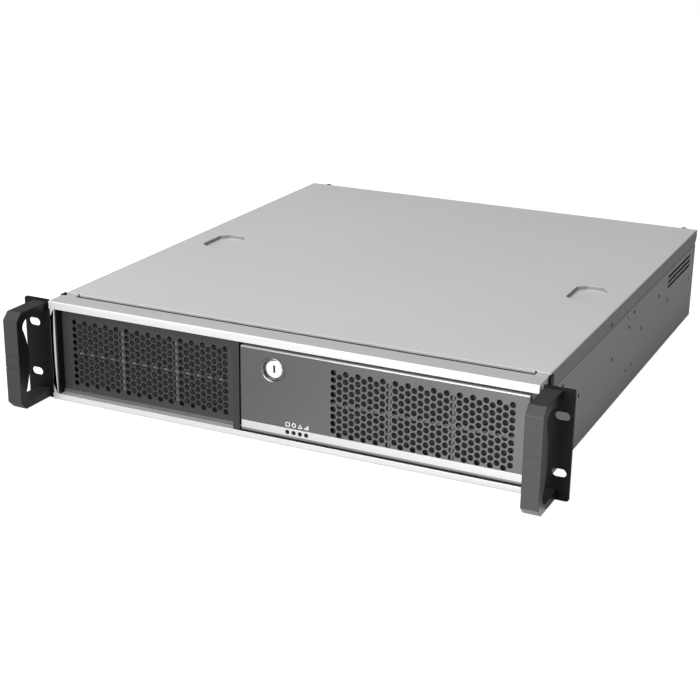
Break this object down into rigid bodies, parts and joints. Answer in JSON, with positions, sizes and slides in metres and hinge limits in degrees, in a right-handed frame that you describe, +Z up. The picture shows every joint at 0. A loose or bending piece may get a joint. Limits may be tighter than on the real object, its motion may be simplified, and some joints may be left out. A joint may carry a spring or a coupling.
{
  "type": "rackmount server case",
  "caption": "Empty low rackmount case with rack ears, handles, a sliding cover, perforated front and a lockable drop-down door.",
  "frame": {"origin": "middle of the four rack slots, on the rear faces of the rack ears", "axes": "+Z up, the front faces -Y, +X to the right seen from the front"},
  "size_m": [0.4826, 0.5393, 0.0878],
  "materials": {
    "steel_body": "zinc plated sheet",
    "cover_grey": "satin",
    "black_steel": "fine texture",
    "silver_bezel": "silver satin",
    "grille_grey": "satin",
    "door_grey": "metallic satin",
    "surround_grey": "moulded",
    "filter_plastic": "moulded",
    "foam": "open cell",
    "handle_grey": "satin",
    "black_plastic": "moulded",
    "chrome_lock": "polished",
    "bright_screw": "plated",
    "brass_standoff": "turned",
    "clear_light": "clear",
    "green_board": "solder mask"
  },
  "bodies": {
    "chassis": {"chassis_tray": "steel_body", "rear_wall": "steel_body", "fan_wall": "steel_body", "disk_cage": "steel_body", "bay_cage": "steel_body", "psu_cradle": "steel_body", "slot_blanks": "steel_body", "usb_ports": "steel_body", "ear_screws": "bright_screw", "handle_screws": "bright_screw", "board_standoffs": "brass_standoff", "front_wall": "black_steel", "ear_left": "black_steel", "ear_right": "black_steel", "bezel_frame": "silver_bezel", "grille_panel": "grille_grey", "door_surround": "surround_grey", "filter_holder": "filter_plastic", "filter_foam": "foam", "handle_left": "handle_grey", "handle_right": "handle_grey", "control_plate": "black_plastic", "control_board": "green_board", "fan_frame_1": "black_plastic", "fan_frame_2": "black_plastic", "fan_frame_3": "black_plastic"},
    "door": {"door_panel": "door_grey", "door_trim": "silver_bezel", "indicator_lights": "clear_light", "light_board": "green_board", "hinge_pins": "bright_screw", "door_filter_holder": "filter_plastic", "door_filter_foam": "foam", "lock_housing": "black_plastic"},
    "lock": {"lock_plug": "chrome_lock", "lock_cam": "steel_body"},
    "cover": {"top_cover": "cover_grey", "cover_thumbscrews": "bright_screw"},
    "power_button": {"power_button": "black_plastic"},
    "reset_button": {"reset_button": "black_plastic"},
    "fan_1": {"fan_rotor_1": "black_plastic"},
    "fan_2": {"fan_rotor_2": "black_plastic"},
    "fan_3": {"fan_rotor_3": "black_plastic"}
  },
  "joints": [
    {"name": "door_hinge", "type": "hinge", "parent": "chassis", "child": "door", "pos_m": [0.0885, -0.0023, -0.0344], "axis": [1, 0, 0], "range_deg": [0, 90]},
    {"name": "lock_turn", "type": "hinge", "parent": "door", "child": "lock", "pos_m": [-0.0026, 0.005, 0.0184], "axis": [0, 1, 0], "range_deg": [0, 90]},
    {"name": "cover_slide", "type": "slide", "parent": "chassis", "child": "cover", "axis": [0, 1, 0], "range_m": [0, 0.2]},
    {"name": "power_press", "type": "slide", "parent": "chassis", "child": "power_button", "axis": [0, 1, 0], "range_m": [0, 0.002], "stiffness_N_per_m": 400},
    {"name": "reset_press", "type": "slide", "parent": "chassis", "child": "reset_button", "axis": [0, 1, 0], "range_m": [0, 0.002], "stiffness_N_per_m": 300},
    {"name": "fan_spin_1", "type": "hinge", "parent": "chassis", "child": "fan_1", "pos_m": [-0.104, 0.222, -0.0025], "axis": [0, 1, 0], "continuous": true},
    {"name": "fan_spin_2", "type": "hinge", "parent": "chassis", "child": "fan_2", "pos_m": [0, 0.222, -0.0025], "axis": [0, 1, 0], "continuous": true},
    {"name": "fan_spin_3", "type": "hinge", "parent": "chassis", "child": "fan_3", "pos_m": [0.104, 0.222, -0.0025], "axis": [0, 1, 0], "continuous": true}
  ]
}
